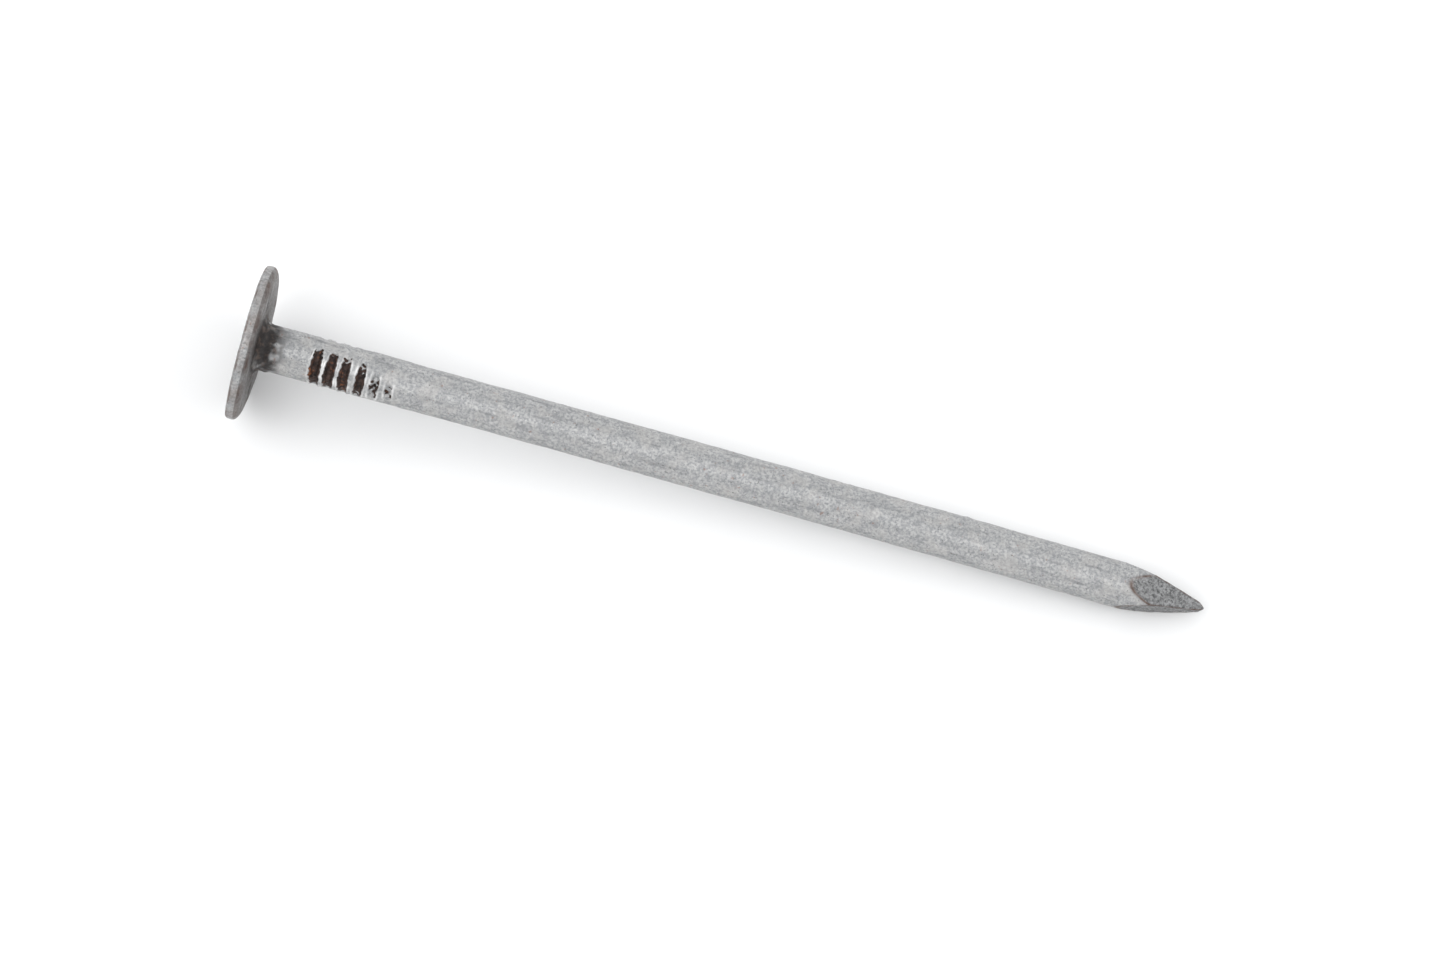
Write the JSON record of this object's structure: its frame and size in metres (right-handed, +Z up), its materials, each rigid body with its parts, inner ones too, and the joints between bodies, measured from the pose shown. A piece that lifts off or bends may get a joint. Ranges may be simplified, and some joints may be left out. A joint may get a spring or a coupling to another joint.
{
  "type": "clout nail",
  "caption": "Galvanised clout nail: wide thin head, plain round shank with gripping marks under the head, and a four-sided diamond point.",
  "frame": {"origin": "on the nail's axis, in the plane of the head's bearing face, over the coating", "axes": "+X along the shank towards the point, +Z up as the nail lies on its side"},
  "size_m": [0.0659, 0.0106, 0.0106],
  "materials": {
    "steel": "matte",
    "zinc": "satin"
  },
  "bodies": {
    "root": {"steel_core": "steel", "galvanised_coating": "zinc"}
  },
  "joints": []
}
